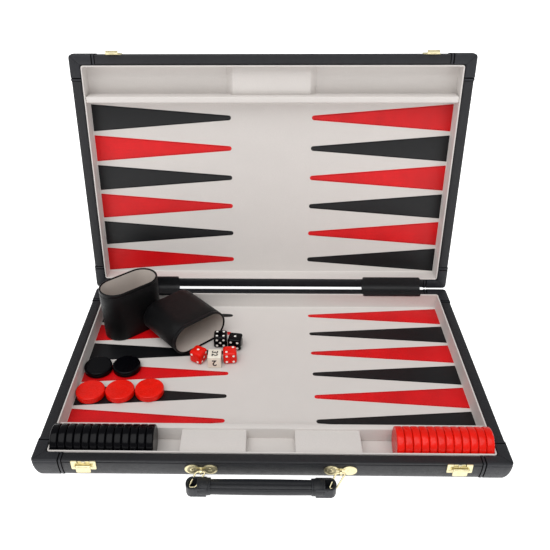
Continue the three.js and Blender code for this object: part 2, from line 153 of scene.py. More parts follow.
class Recipe:
    """A Principled material, with short ways to add procedural textures to it."""

    def __init__(self, name, **sockets):
        self.material = bpy.data.materials.new(name)
        self.material.use_nodes = True
        self.tree = self.material.node_tree
        self.shader = self.tree.nodes["Principled BSDF"]
        for socket, value in sockets.items():
            self.shader.inputs[socket.replace("_", " ")].default_value = value
        self.place = self.tree.nodes.new("ShaderNodeTexCoord").outputs["Object"]
        self.normal = None

    def node(self, kind, values, **settings):
        node = self.tree.nodes.new(kind)
        for key, value in settings.items():
            setattr(node, key, value)
        for socket, value in values.items():
            if isinstance(value, bpy.types.NodeSocket):
                self.tree.links.new(value, node.inputs[socket])
            else:
                node.inputs[socket].default_value = value
        return node

    def stretched(self, x, y, z):
        return self.node("ShaderNodeMapping", {"Vector": self.place, "Scale": (x, y, z)}).outputs["Vector"]

    def noise(self, size, detail=2.0, place=None):
        values = {"Vector": place or self.place, "Scale": 1 / (size * MM), "Detail": detail}
        return self.node("ShaderNodeTexNoise", values).outputs["Fac"]

    def cells(self, size):
        values = {"Vector": self.place, "Scale": 1 / (size * MM)}
        return self.node("ShaderNodeTexVoronoi", values, feature="DISTANCE_TO_EDGE").outputs["Distance"]

    def worn(self):
        """High along the edges that stand out."""
        return self.spread(self.node("ShaderNodeNewGeometry", {}).outputs["Pointiness"], 0.52, 0.62)

    def spread(self, value, from_low, from_high, low=0, high=1):
        values = {0: value, 1: from_low, 2: from_high, 3: low, 4: high}
        return self.node("ShaderNodeMapRange", values).outputs[0]

    def times(self, a, b):
        return self.node("ShaderNodeMath", {0: a, 1: b}, operation="MULTIPLY").outputs[0]

    def mix(self, factor, a, b):
        return self.node("ShaderNodeMix", {0: factor, 6: a, 7: b}, data_type="RGBA").outputs[2]

    def bump(self, height, depth, strength=1.0):
        values = {"Height": height, "Distance": depth * MM, "Strength": strength}
        if self.normal:
            values["Normal"] = self.normal
        self.normal = self.node("ShaderNodeBump", values).outputs["Normal"]

    def done(self, color=None, roughness=None):
        for socket, value in (("Base Color", color), ("Roughness", roughness), ("Normal", self.normal)):
            if isinstance(value, bpy.types.NodeSocket):
                self.tree.links.new(value, self.shader.inputs[socket])
            elif value is not None:
                self.shader.inputs[socket].default_value = value
        return self.material


def leatherette(name, color, grain, depth, roughness=(0.42, 0.58), wear=0.5, shine=0.42):
    recipe = Recipe(name, Specular_IOR_Level=shine, Sheen_Weight=0.04, Sheen_Roughness=0.4)
    pebbles = recipe.spread(recipe.cells(grain), 0.0, 0.22)
    recipe.bump(pebbles, depth)
    recipe.bump(recipe.noise(grain * 0.28, 3), depth * 0.5)
    recipe.bump(recipe.noise(14, 2), depth * 3, 0.35)
    blotches = recipe.spread(recipe.noise(38, 3), 0.35, 0.65)
    tone = recipe.mix(blotches, scaled(color, 0.86), scaled(color, 1.14))
    # The grain's creases are coloured 0.6 times darker: painted shade in the creases.
    crease_shaded = recipe.mix(pebbles, scaled(color, 0.6), tone)
    edges = recipe.times(recipe.worn(), wear)
    shade = recipe.mix(edges, crease_shaded, scaled(color, 2.2))
    return recipe.done(shade, recipe.spread(recipe.noise(4, 3), 0.3, 0.7, *roughness))


def felt(name, color):
    recipe = Recipe(name, Specular_IOR_Level=0.15, Sheen_Weight=0.22, Sheen_Roughness=0.55)
    nap = recipe.noise(0.55, 4)
    brushed = recipe.noise(26, 3)
    recipe.bump(nap, 0.14)
    recipe.bump(recipe.noise(2.2, 2), 0.1, 0.6)
    fine = recipe.mix(recipe.spread(nap, 0.3, 0.7), scaled(color, 0.93), scaled(color, 1.04))
    strokes = recipe.spread(brushed, 0.35, 0.65, 0, 0.5)
    return recipe.done(recipe.mix(strokes, fine, scaled(color, 0.955)), 0.93)


def metal(name, color, roughness):
    recipe = Recipe(name, Metallic=1.0)
    brushing = recipe.noise(2.4, 3, recipe.stretched(1.0, 12.0, 12.0))
    recipe.bump(brushing, 0.006)
    recipe.bump(recipe.noise(1.6, 2), 0.01, 0.5)
    tarnish = recipe.spread(recipe.noise(5, 3), 0.42, 0.72)
    tone = recipe.mix(tarnish, color, scaled(color, 0.82))
    return recipe.done(tone, recipe.spread(brushing, 0.3, 0.7, roughness * 0.75, roughness * 1.3))


def gloss(name, color, roughness, coat=0.1, wear=0.3, shine=0.38):
    recipe = Recipe(name, Coat_Weight=coat, Coat_Roughness=0.08, Specular_IOR_Level=shine)
    scuffs = recipe.noise(1.4, 4, recipe.stretched(1.0, 5.0, 1.0))
    recipe.bump(recipe.noise(5, 2), 0.012)
    recipe.bump(scuffs, 0.003)
    swirl = recipe.spread(recipe.noise(11, 3), 0.35, 0.65)
    tone = recipe.mix(swirl, scaled(color, 0.93), scaled(color, 1.06))
    shade = recipe.mix(recipe.times(recipe.worn(), wear), tone, scaled(color, 1.35))
    return recipe.done(shade, recipe.spread(scuffs, 0.3, 0.75, roughness * 0.8, roughness * 1.5))


def painted(name, color, roughness=0.45, shine=0.5):
    recipe = Recipe(name, Specular_IOR_Level=shine)
    speckle = recipe.noise(0.4, 3)
    recipe.bump(speckle, 0.01)
    tone = recipe.mix(recipe.spread(speckle, 0.3, 0.7), scaled(color, 0.9), scaled(color, 1.05))
    return recipe.done(tone, roughness)


case_leather = leatherette("case_leatherette", srgb(20, 21, 26), 1.3, 0.1, (0.4, 0.52))
patch_leather = leatherette("patch_leatherette", srgb(24, 26, 32), 1.3, 0.1, (0.4, 0.52))
wrap_leather = leatherette("wrap_leatherette", srgb(16, 17, 20), 1.5, 0.12)
grip_leather = leatherette("grip_leatherette", srgb(24, 26, 31), 1.1, 0.08, (0.36, 0.5))
cup_leather = leatherette("cup_leatherette", srgb(5, 5, 7), 1.1, 0.07, (0.36, 0.48), wear=0.3, shine=0.2)
red_inlay = leatherette("red_inlay", srgb(226, 6, 16), 0.5, 0.015, (0.34, 0.44), wear=0.1, shine=0.32)
black_inlay = leatherette("black_inlay", srgb(12, 13, 16), 0.5, 0.015, (0.3, 0.4), wear=0.2, shine=0.32)
cream_felt = felt("cream_felt", srgb(212, 207, 203))
# The cups' lining is the cream felt made darker: painted shade for the inside of a cup.
shaded_cup_felt = felt("shaded_cup_felt", srgb(190, 180, 172))
brass = metal("brass", (0.78, 0.70, 0.44, 1.0), 0.34)
steel = metal("steel", (0.62, 0.62, 0.64, 1.0), 0.28)
black_gloss = gloss("black_gloss", srgb(3, 3, 6), 0.18, coat=0.04, shine=0.09)
red_gloss = gloss("red_gloss", srgb(226, 20, 3), 0.24, wear=0.15, shine=0.2)
ivory = gloss("ivory", srgb(236, 230, 214), 0.36, wear=0.1)
white_paint = painted("white_paint", srgb(244, 242, 236))
# Black for the cube's printed numbers, and painted shade in the latch notches.
black_print_and_notch_shade = painted("black_print_and_notch_shade", srgb(20, 20, 22))
# Black thread for stitches; on the corner patches' seam and mitre grooves it is also painted shade.
black_thread_and_seam_shade = painted("black_thread_and_seam_shade", srgb(6, 6, 8), 0.8, 0.06)
red_thread = painted("red_thread", srgb(104, 6, 12), 0.8, 0.1)


# ---------- mesh helpers ----------


def quarter(steps, first=0):
    """(sin, cos) at equal steps of a quarter turn."""
    angles = [radians(90 * i / steps) for i in range(first, steps + 1)]
    return [(sin(angle), cos(angle)) for angle in angles]


def circle(steps):
    """(cos, sin) at equal steps of a full turn."""
    angles = [2 * pi * i / steps for i in range(steps)]
    return [(cos(angle), sin(angle)) for angle in angles]


def pulled(start, corner, end, t):
    """The point at t on the curve from start to end that is pulled towards corner."""
    return start * (1 - t) ** 2 + corner * 2 * t * (1 - t) + end * t ** 2


def heading(points, i):
    """The unit direction of a line of pairs at number i."""
    before, after = points[max(0, i - 1)], points[min(len(points) - 1, i + 1)]
    return Vector((after[0] - before[0], after[1] - before[1])).normalized()


def loft(mesh, rings):
    """Skins rings of equal point counts, with a flat face at each end."""
    rows = [[mesh.verts.new(point) for point in ring] for ring in rings]
    count = len(rows[0])
    for low, high in zip(rows, rows[1:]):
        for i in range(count):
            j = (i + 1) % count
            mesh.faces.new((low[i], low[j], high[j], high[i]))
    mesh.faces.new(rows[0][::-1])
    mesh.faces.new(rows[-1])


def loop(mesh, rings):
    """Skins rings that follow one another round a loop."""
    rows = [[mesh.verts.new(point) for point in ring] for ring in rings]
    for here, there in zip(rows, rows[1:] + rows[:1]):
        for k in range(len(here)):
            after = (k + 1) % len(here)
            mesh.faces.new((here[k], there[k], there[after], here[after]))


def rounded_rectangle(half_x, half_y, radius, z, steps):
    points = []
    for sx, sy, start in ((1, -1, -90), (1, 1, 0), (-1, 1, 90), (-1, -1, 180)):
        for i in range(steps + 1):
            angle = radians(start + 90 * i / steps)
            x = sx * (half_x - radius) + radius * cos(angle)
            y = sy * (half_y - radius) + radius * sin(angle)
            points.append(Vector((x, y, z)))
    return points


def stadium(half_length, half_width, z, steps=18):
    points = []
    for side in (1, -1):
        for i in range(steps + 1):
            angle = radians((i / steps - 0.5) * 180)
            x = side * (half_length - half_width + half_width * cos(angle))
            points.append(Vector((x, side * half_width * sin(angle), z)))
    return points


def soft_box(mesh, low, high, bevel, segments=3, material=0):
    """A box whose edges are rounded by bevel."""
    low, high = Vector(low), Vector(high)
    made = bmesh.ops.create_cube(mesh, size=1)["verts"]
    for vertex in made:
        vertex.co = Vector(l + (h - l) * (c + 0.5) for l, h, c in zip(low, high, vertex.co))
    edges = list(dict.fromkeys(edge for vertex in made for edge in vertex.link_edges))
    faces = set(face for vertex in made for face in vertex.link_faces)
    result = bmesh.ops.bevel(mesh, geom=edges, offset=bevel, segments=segments, profile=0.5, affect="EDGES")
    for face in faces.union(result["faces"]):
        if face.is_valid:
            face.material_index = material


def prism(mesh, outline, near, far, bevel):
    """An (x, z) outline pushed from y near to y far, with its two faces' edges rounded."""
    def ring(grow, y):
        return [Vector((x, y, z)) for x, z in shrunk(outline, -grow)]
    step = bevel if far > near else -bevel
    rings = [ring(-bevel, near)]
    rings += [ring(-bevel * (1 - sine), near + step * (1 - cosine)) for sine, cosine in quarter(2, 1)]
    rings += [ring(-bevel * (1 - cosine), far - step * (1 - sine)) for sine, cosine in quarter(2)]
    loft(mesh, rings)


def shrunk(outline, inset):
    """The closed outline moved inwards by inset, corner by corner."""
    result = []
    count = len(outline)
    for i in range(count):
        before, here, after = (Vector(outline[(i + k) % count]) for k in (-1, 0, 1))
        first = (here - before).normalized()
        second = (after - here).normalized()
        normal = Vector((-first.y - second.y, first.x + second.x))
        length = normal.length
        if length < 1e-6:
            result.append(tuple(here))
            continue
        normal /= length
        reach = min(2.0, 1 / max(0.2, normal.dot(Vector((-first.y, first.x)))))
        result.append(tuple(here + normal * inset * reach))
    return result


def rounded_outline(corners, steps=4):
    """A closed outline from (x, z, radius) corners, each rounded by its own radius."""
    outline = []
    count = len(corners)
    for i, (x, z, radius) in enumerate(corners):
        here = Vector((x, z))
        if radius <= 0:
            outline.append((x, z))
            continue
        before = Vector(corners[i - 1][:2]) - here
        after = Vector(corners[(i + 1) % count][:2]) - here
        start = here + before.normalized() * radius
        end = here + after.normalized() * radius
        outline += [tuple(pulled(start, here, end, k / steps)) for k in range(steps + 1)]
    return outline


def lathe(mesh, profile, place, steps, material=0):
    """Turns (radius, height) pairs round the local Z axis of place. Both ends lie on the axis."""
    first = mesh.verts.new(place @ Vector((0, 0, profile[0][1])))
    last = mesh.verts.new(place @ Vector((0, 0, profile[-1][1])))
    rows = [
        [mesh.verts.new(place @ Vector((radius * c, radius * s, height))) for c, s in circle(steps)]
        for radius, height in profile[1:-1]
    ]
    faces = []
    for i in range(steps):
        j = (i + 1) % steps
        faces.append(mesh.faces.new((first, rows[0][j], rows[0][i])))
        faces.append(mesh.faces.new((last, rows[-1][i], rows[-1][j])))
        for low, high in zip(rows, rows[1:]):
            faces.append(mesh.faces.new((low[i], low[j], high[j], high[i])))
    for face in faces:
        face.material_index = material


def turned_ring(mesh, profile, place):
    """Turns a closed (radius, height) outline round the local Z axis of place."""
    loop(mesh, [[place @ Vector((r * c, r * s, h)) for r, h in profile] for c, s in circle(32)])


def wire_loop(mesh, points, radius, sides=14):
    """A round wire that follows points and closes on itself."""
    rings = []
    side = None
    for i, point in enumerate(points):
        tangent = (points[(i + 1) % len(points)] - points[i - 1]).normalized()
        if side is None:
            side = tangent.orthogonal().normalized()
        side = (side - tangent * side.dot(tangent)).normalized()
        other = tangent.cross(side)
        rings.append([point + side * (c * radius) + other * (s * radius) for c, s in circle(sides)])
    loop(mesh, rings)


def stitches(mesh, start, end, normal, width, pitch=3.1, length=2.1):
    """A row of thread stitches from start to end, each a small spindle that stands on the surface.

    Their faces take the piece's second material."""
    start, end, normal = Vector(start), Vector(end), Vector(normal).normalized()
    span = (end - start).length
    along = (end - start).normalized()
    across = along.cross(normal)
    count = max(1, int(span / pitch))
    for i in range(count):
        middle = start + along * (span * (i + 0.5) / count)
        tips = [mesh.verts.new(middle + along * (sign * length / 2) - normal * 0.05) for sign in (-1, 1)]
        rows = []
        for sign in (-1, 1):
            waist = middle + along * (sign * length * 0.3)
            around = ((1, 0), (0, 1), (-1, 0), (0, -1))
            corners = [waist + across * (a * width) + normal * (b * width * 0.8) for a, b in around]
            rows.append([mesh.verts.new(corner) for corner in corners])
        for k in range(4):
            after = (k + 1) % 4
            faces = (
                mesh.faces.new((tips[0], rows[0][after], rows[0][k])),
                mesh.faces.new((rows[0][k], rows[0][after], rows[1][after], rows[1][k])),
                mesh.faces.new((tips[1], rows[1][k], rows[1][after])),
            )
            for face in faces:
                face.material_index = 1


def piece(name, mesh, materials, body, place=None, stands_for=(), sharp=38):
    """Turns a mesh in millimetres into an object, which rides on a body if one is given."""
    bmesh.ops.recalc_face_normals(mesh, faces=mesh.faces)
    for face in mesh.faces:
        face.smooth = True
    limit = radians(sharp)
    for edge in mesh.edges:
        if len(edge.link_faces) == 2 and edge.calc_face_angle(0) > limit:
            edge.smooth = False
    data = finished(name, mesh)
    if place is not None:
        data.transform(place)
    for material in materials:
        data.materials.append(material)
    made = placed(name, data)
    if body:
        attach(made, body)
    if stands_for:
        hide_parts(*stands_for)
    return made


# ---------- camera, light and floor ----------

CAMERA_AT = (-3.5, -580.6, 515.4)
CAMERA_YAW = -1.206
CAMERA_PITCH = 32.839
CAMERA_ROLL = -0.414
CAMERA_LENS = 43.66
CAMERA_SHIFT_X = 0.0345
WORLD_STRENGTH = 0.44
KEY_STRENGTH = 1.93
KEY_WIDTH = 60
FLOOR_HALF = 6000.0
FLOOR_GLOW = 0.8
WHITE = (1.0, 1.0, 1.0, 1.0)
FLOOR_WHITE = (0.97, 0.97, 0.97, 1.0)


def add_camera():
    data = bpy.data.cameras.new("camera")
    data.lens = CAMERA_LENS
    data.shift_x = CAMERA_SHIFT_X
    data.clip_start = 0.05
    turn = turned("Z", -CAMERA_YAW) @ turned("X", 90 - CAMERA_PITCH) @ turned("Z", CAMERA_ROLL)
    bpy.context.scene.camera = placed("camera", data, moved(*CAMERA_AT) @ turn)


def add_studio():
    world = bpy.data.worlds.new("studio")
    bpy.context.scene.world = world
    world.use_nodes = True
    background = world.node_tree.nodes["Background"]
    background.inputs["Color"].default_value = WHITE
    background.inputs["Strength"].default_value = WORLD_STRENGTH
    bpy.context.scene.view_settings.view_transform = "Standard"

    key = bpy.data.lights.new("key", "SUN")
    key.energy = KEY_STRENGTH
    key.angle = radians(KEY_WIDTH)
    placed("key", key, turned("Z", -14) @ turned("X", 30))

    mesh = bmesh.new()
    corners = [(x * FLOOR_HALF, y * FLOOR_HALF, 0) for x, y in ((-1, -1), (1, -1), (1, 1), (-1, 1))]
    mesh.faces.new([mesh.verts.new(corner) for corner in corners])
    data = finished("floor", mesh)
    recipe = Recipe("floor_paint", Specular_IOR_Level=0.2, Emission_Color=WHITE, Emission_Strength=FLOOR_GLOW)
    clouded = recipe.mix(recipe.noise(220, 2), scaled(FLOOR_WHITE, 0.99), FLOOR_WHITE)
    data.materials.append(recipe.done(clouded, 0.8))
    placed("floor", data)


# ---------- trays: leatherette case, corner patches, lining, rail ----------


def shell_profile():
    """(inset, z) pairs up the outside of a tray, over its rim and down to the pocket."""
    groove = RIM_Z - GROOVE_DROP
    rise = groove - 0.8
    profile = [(CROWN * (1 - sine), rise * (1 - cosine)) for sine, cosine in quarter(12)]
    profile += [(0.06, groove - 0.5), (0.35, groove - 0.35), (GROOVE_DEPTH, groove)]
    profile += [(GROOVE_DEPTH, groove + 0.3), (0.3, groove + 0.6), (0.0, groove + 0.9)]
    profile += [(RIM_RADIUS * (1 - cosine), RIM_Z - RIM_RADIUS * (1 - sine)) for sine, cosine in quarter(4)]
    crown = ((3.4, 0.12), (6.0, 0.14), (8.6, 0.04), (9.8, -0.25), (10.7, -0.9))
    return profile + [(inset, RIM_Z + height) for inset, height in crown]


def ring_radius(inset):
    share = min(1.0, max(0.0, (inset - RIM_RADIUS) / (END_WALL - RIM_RADIUS)))
    return CORNER_RADIUS + (POCKET_RADIUS - CORNER_RADIUS) * share


def side_inset(inset):
    """The side walls are a little thicker than the end walls, which shows on the rim alone."""
    return inset * SIDE_WALL / END_WALL if inset > RIM_RADIUS else inset


def tray_ring(inset, z, wall=0):
    radius = POCKET_RADIUS if wall else ring_radius(inset)
    return rounded_rectangle(HALF_WIDTH - (wall or inset), HALF_DEPTH - inset, radius, z, 8)


def pad_back(mesh):
    """The leatherette is folded double at the hinge side, so the wall swells a little towards the gap."""
    for vertex in mesh.verts:
        share = (vertex.co.y - HALF_DEPTH) / BACK_REACH + 1
        vertex.co.y += BACK_SWELL * min(1.0, max(0.0, share))


def add_shell(tray, place):
    mesh = bmesh.new()
    rings = [tray_ring(inset, z, side_inset(inset) if z > RIM_EDGE_Z else 0) for inset, z in shell_profile()]
    rings.append(tray_ring(END_WALL, RIM_Z - 1.8, SIDE_WALL))
    rings.append(tray_ring(END_WALL, FLOOR - LINING - FIT_GAP, SIDE_WALL))
    loft(mesh, rings)
    pad_back(mesh)
    piece(f"{tray}_case", mesh, [case_leather], tray, place, [f"{tray}_shell"])


PATCH_LENGTH = 29.0
PATCH_LIFT = 0.75
PATCH_SEAM = 3.5
PATCH_THICKNESS = 0.35
PATCH_FOOT = 1.2
MITRE_DEPTH = 0.34
MITRE_FROM = RIM_Z - 0.4


def patch_point(profile, k, lift, edge, where):
    """A corner patch's point, lifted off the tray at profile point k.

    It is distance where from the corner along the x or y edge, or at where degrees round its arc."""
    inset, z = profile[k]
    tangent = heading(profile, k)
    if k in (0, len(profile) - 1):
        lift = -0.1
    deep = inset - tangent.y * lift
    radius = ring_radius(inset)
    extra = side_inset(inset) - inset if z > RIM_EDGE_Z else 0.0
    x, y = HALF_WIDTH - deep - extra, HALF_DEPTH - deep
    if edge == "arc":
        x = x - radius + radius * cos(radians(where))
        y = y - radius + radius * sin(radians(where))
    elif edge == "x":
        y = HALF_DEPTH - where
    else:
        x = HALF_WIDTH - where
    return x, y, z + tangent.x * lift


def add_corner_patches(tray, place):
    """Leatherette sewn over each corner: a mitre on the rim and a double seam at each end, whose grooves are
    coloured black, partly as thread and partly as painted shade.
    """
    profile = [pair for pair in shell_profile() if pair[1] > PATCH_FOOT]
    lines = [(-0.3, -0.1), (0.25, 0.15), (0.75, PATCH_LIFT), (PATCH_SEAM - 0.7, PATCH_LIFT)]
    lines += [(PATCH_SEAM - 0.3, 0.12), (PATCH_SEAM + 0.3, 0.12), (PATCH_SEAM + 0.7, PATCH_LIFT)]
    lines.append((PATCH_LENGTH * 0.5, PATCH_LIFT))
    arcs = [0, 15, 30, 40, 43, 45, 47, 50, 60, 75, 90]
    stops = [("x", PATCH_LENGTH - start, lift) for start, lift in lines]
    stops += [("arc", angle, PATCH_LIFT) for angle in arcs]
    stops += [("y", PATCH_LENGTH - start, lift) for start, lift in reversed(lines)]
    mitre_stop = len(lines) + arcs.index(45)
    for sx, sy in ((-1, -1), (-1, 1), (1, -1), (1, 1)):
        mesh = bmesh.new()
        rows = []
        for k, (_, z) in enumerate(profile):
            row = []
            for i, (edge, where, lift) in enumerate(stops):
                mitre = MITRE_DEPTH if i == mitre_stop and z > MITRE_FROM else 0.0
                x, y, height = patch_point(profile, k, lift - mitre, edge, where)
                row.append(mesh.verts.new((sx * x, sy * y, height)))
            rows.append(row)
        for (low, high), (_, z) in zip(zip(rows, rows[1:]), profile):
            for i in range(len(low) - 1):
                face = mesh.faces.new((low[i], low[i + 1], high[i + 1], high[i]))
                seam = min(stops[i][2], stops[i + 1][2]) < 0.5
                mitre = z > MITRE_FROM and i in (mitre_stop - 1, mitre_stop)
                # Seam and mitre grooves take the black thread material, which here is also painted shade in
                # the grooves.
                face.material_index = 1 if seam or mitre else 0
        pad_back(mesh)
        name = f"{tray}_corner_{'left' if sx < 0 else 'right'}_{'front' if sy < 0 else 'back'}"
        patch = piece(name, mesh, [patch_leather, black_thread_and_seam_shade], tray, place, sharp=30)
        solid = patch.modifiers.new("thickness", "SOLIDIFY")
        solid.thickness = PATCH_THICKNESS * MM
        solid.offset = -1


BEAD_RADIUS = 0.82
BEAD_Z = RIM_Z - 0.25
LINING_FOLD = 1.1


def add_lining(tray, place):
    """Felt over the tray's floor and walls, rolled into a bead along the inner rim."""
    def ring(grow, z):
        radius = max(0.35, LINING_RADIUS + grow)
        return rounded_rectangle(LINING_HALF_X + grow, LINING_HALF_Y + grow, radius, z, 5)

    mesh = bmesh.new()
    rings = [ring(LINING, FLOOR - LINING), ring(LINING, RIM_Z - 0.6)]
    for i in range(9):
        angle = radians(200 - 220 * i / 8)
        rings.append(ring(LINING / 2 - BEAD_RADIUS * cos(angle), BEAD_Z + BEAD_RADIUS * sin(angle)))
    rings += [ring(0.0, RIM_Z - 1.7), ring(0.0, FLOOR + LINING_FOLD)]
    for sine, cosine in quarter(4, 1):
        rings.append(ring(-LINING_FOLD * (1 - cosine), FLOOR + LINING_FOLD * (1 - sine)))
    loft(mesh, rings)
    piece(f"{tray}_felt", mesh, [cream_felt], tray, place, [f"{tray}_lining"])


RAIL_FRONT = FRONT + 46.4
RAIL_BACK = RAIL_FRONT + 7.0
RAIL_TOPS = {"base": RIM_Z - 3.0, "lid": RIM_Z - 0.6}
TROUGH_FRONT = -LINING_HALF_Y + FIT_GAP
BLOCK_INNER = 24.2
BLOCK_OUTER = 89.5
BLOCK_TOP = FLOOR + 14.6
MIDDLE_TOP = FLOOR + 3.3
LID_BLOCK_TOP = 44.8
LID_BLOCK_FOOT = 52.4
LID_BLOCK_HEIGHT = 10.0


def add_rail(tray, place):
    mesh = bmesh.new()
    half = LINING_HALF_X - 0.2
    soft_box(mesh, (-half, RAIL_FRONT, FLOOR), (half, RAIL_BACK, RAIL_TOPS[tray]), 1.1, 4)
    piece(f"{tray}_rail_bar", mesh, [cream_felt], tray, place, [f"{tray}_rail"])


def add_blocks():
    for side, word in SIDES:
        mesh = bmesh.new()
        low_x, high_x = sorted((side * BLOCK_INNER, side * BLOCK_OUTER))
        soft_box(mesh, (low_x, TROUGH_FRONT, FLOOR), (high_x, RAIL_FRONT + 1, BLOCK_TOP), 0.9, 4)
        piece(f"base_block_{word}", mesh, [cream_felt], "base", None)
    mesh = bmesh.new()
    half = BLOCK_INNER + 0.5
    soft_box(mesh, (-half, TROUGH_FRONT, FLOOR), (half, RAIL_FRONT + 0.5, MIDDLE_TOP), 0.3)
    piece("base_middle_floor", mesh, [cream_felt], "base", None)
    mesh = bmesh.new()
    top = FLOOR + LID_BLOCK_HEIGHT
    outline = rounded_outline([
        (-LID_BLOCK_FOOT, FLOOR, 0), (LID_BLOCK_FOOT, FLOOR, 0),
        (LID_BLOCK_TOP, top, 1.6), (-LID_BLOCK_TOP, top, 1.6),
    ])
    prism(mesh, outline, RAIL_FRONT + 1, TROUGH_FRONT, 0.5)
    piece("lid_block", mesh, [cream_felt], "lid", TRAYS["lid"])


# ---------- the 24 points ----------

POINT_BASE_X = LINING_HALF_X - 0.1
POINT_TIP_X = 48.3
POINT_HALF_BASE = 16.3
POINT_TIP_RADIUS = 2.9
POINT_PITCH = 37.46
FIRST_POINT_Y = {"base": 114.2, "lid": 116.2}
STITCH_INSET = 1.15
# (inset, height) pairs from a point's edge inwards, past the groove that its stitches lie in.
POINT_STEPS = (
    (0, -0.15), (0, 0.1), (0.3, 0.24), (0.75, 0.24), (STITCH_INSET, 0.12), (1.55, 0.22), (1.9, 0.25),
)


def point_ring(side, row_y, inset, z):
    tip = POINT_BASE_X - POINT_TIP_X - POINT_TIP_RADIUS
    radius = POINT_TIP_RADIUS - inset
    flat = [(inset, -(POINT_HALF_BASE - inset))]
    for i in range(9):
        angle = radians(-90 + 180 * i / 8)
        flat.append((tip + radius * cos(angle), radius * sin(angle)))
    flat.append((inset, POINT_HALF_BASE - inset))
    return [Vector((side * (POINT_BASE_X - along), row_y + across, z)) for along, across in flat]


def add_points(tray, place):
    """Smooth leatherette inlays, pressed down along a row of stitches near the edge."""
    for side, word in SIDES:
        for row in range(6):
            red = (row + (side < 0)) % 2 == 0
            y = FIRST_POINT_Y[tray] - row * POINT_PITCH
            mesh = bmesh.new()
            loft(mesh, [point_ring(side, y, inset, FLOOR + height) for inset, height in POINT_STEPS])
            seam = point_ring(side, y, STITCH_INSET, FLOOR + 0.2)
            for start, end in ((seam[0], seam[1]), (seam[-2], seam[-1])):
                stitches(mesh, start, end, (0, 0, 1), 0.3)
            inlay, thread, slot = (
                (red_inlay, red_thread, "red_leatherette") if red
                else (black_inlay, black_thread_and_seam_shade, "black_leatherette")
            )
            name = f"{tray}_point_{word}_{row + 1}"
            piece(name, mesh, [inlay, thread], tray, place, sharp=50)


# ---------- hinge wraps and hinges ----------

WRAP_INNER_X = 119.0
WRAP_OUTER_X = 195.0
WRAP_THICKNESS = 0.5
WRAP_LIP = 0.75
WRAP_REACH = HALF_DEPTH - END_WALL - LINING_HALF_Y + WRAP_LIP
WRAP_CORNER = 3.2
WRAP_TUCK = 0.25
WRAP_BEND_Y = HALF_DEPTH - 4.6
LID_WALL_FACE = 1.3


def wrap_line(cut):
    """(y, z) points of the wrap's face, from over the base's bead to over the lid's.

    It stops short by cut at both ends."""
    edge = HALF_DEPTH - END_WALL - WRAP_REACH + cut
    line = [(edge - WRAP_TUCK, RIM_Z - 0.9), (edge, RIM_Z + 1.2)]
    base_end = Vector((WRAP_BEND_Y, RIM_Z + 1.45))
    tilt = radians(LID_ANGLE - 90)
    up = Vector((sin(tilt), cos(tilt)))
    out = Vector((-cos(tilt), sin(tilt)))
    rim = Vector((HINGE_Y, HINGE_Z)) + out * -0.9
    lid_start = rim + up * 6.4 + out * 1.45
    for i in range(4):
        line.append(tuple(Vector(line[1]).lerp(base_end, (i + 1) / 4)))
    corner = Vector((lid_start.x - 0.6, base_end.y + 0.2))
    for i in range(1, 14):
        line.append(tuple(pulled(base_end, corner, lid_start, i / 14)))
    lid_end = rim + up * (LID_WALL_FACE + END_WALL + WRAP_REACH - cut) + out * 1.2
    for i in range(4):
        line.append(tuple(lid_start.lerp(lid_end, i / 3)))
    line.append(tuple(rim + up * (LID_WALL_FACE + END_WALL + WRAP_REACH + WRAP_TUCK - cut) - out * 0.9))
    return [Vector(point) for point in line]


def wrap_ring(x, cut, share):
    """The wrap's section at x, with its thickness drawn in to share of the full one."""
    line = wrap_line(cut)
    inner = [Vector(point) for point in shrunk(line, -WRAP_THICKNESS)]
    inner[0] = line[0] - Vector((0.0, WRAP_THICKNESS))
    inner[-1] = line[-1] + Vector((WRAP_THICKNESS, 0.0))
    middle = [(a + b) / 2 for a, b in zip(line, inner)]
    face = [m + (a - m) * share for a, m in zip(line, middle)]
    back = [m + (b - m) * share for b, m in zip(inner, middle)]
    return [Vector((x, *point)) for point in face + back[::-1]]


def add_hinge_wraps():
    width = WRAP_OUTER_X - WRAP_INNER_X
    edge = ((0, 0.4), (0.12, 0.8), (0.35, 1), (0.8, 1), (1.5, 1), (2.3, 1))
    sections = [*edge, *((width * i / 20, 1) for i in range(1, 20))]
    sections += [(width - along, share) for along, share in reversed(edge)]
    for side, word in SIDES:
        mesh = bmesh.new()
        rings = []
        for along, share in sections:
            from_side = max(0.0, WRAP_CORNER - min(along, width - along))
            cut = WRAP_CORNER - sqrt(WRAP_CORNER ** 2 - from_side ** 2)
            rings.append(wrap_ring(side * (WRAP_INNER_X + along), cut, share))
        loft(mesh, rings)
        wrap = piece(f"hinge_wrap_{word}", mesh, [wrap_leather], None, None, sharp=60)
        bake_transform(wrap)


def dress_hinges():
    for _, word in SIDES:
        for part, material in (("leaf_base", brass), ("leaf_lid", brass), ("pin", steel)):
            mesh = frame["nodes"][f"hinge_{part}_{word}"].data
            mesh.materials.clear()
            mesh.materials.append(material)


# ---------- latches ----------

LATCH_X = 178.6
PLATE_FACE = FRONT - 1.1
PLATE_BACK = FRONT + 0.1
PLATE_HALF_WIDTH = 12
PLATE_BOTTOM = 13.4
PLATE_TOP = 24.2
NOTCH_HALF_WIDTH = 6
NOTCH_BOTTOM = 20.9
LEVER_Y = FRONT - 2.7
LEVER_Z = 18.9
LEVER_HALF_WIDTH = 7
LEVER_BOTTOM = 11.9
BARREL_RADIUS = 1.3
ROD_RADIUS = 0.55
CATCH_HALF_WIDTH = 9.5
CATCH_BOTTOM = 15.5
CATCH_TOP = 23
TONGUE_HALF_WIDTH = 4
TONGUE_ROOT = 20
TONGUE_TOP = RIM_Z + 4.6
LIP_HALF_WIDTH = 7
FACING_FRONT = turned("X", 90)
ALONG_X = turned("Y", 90)


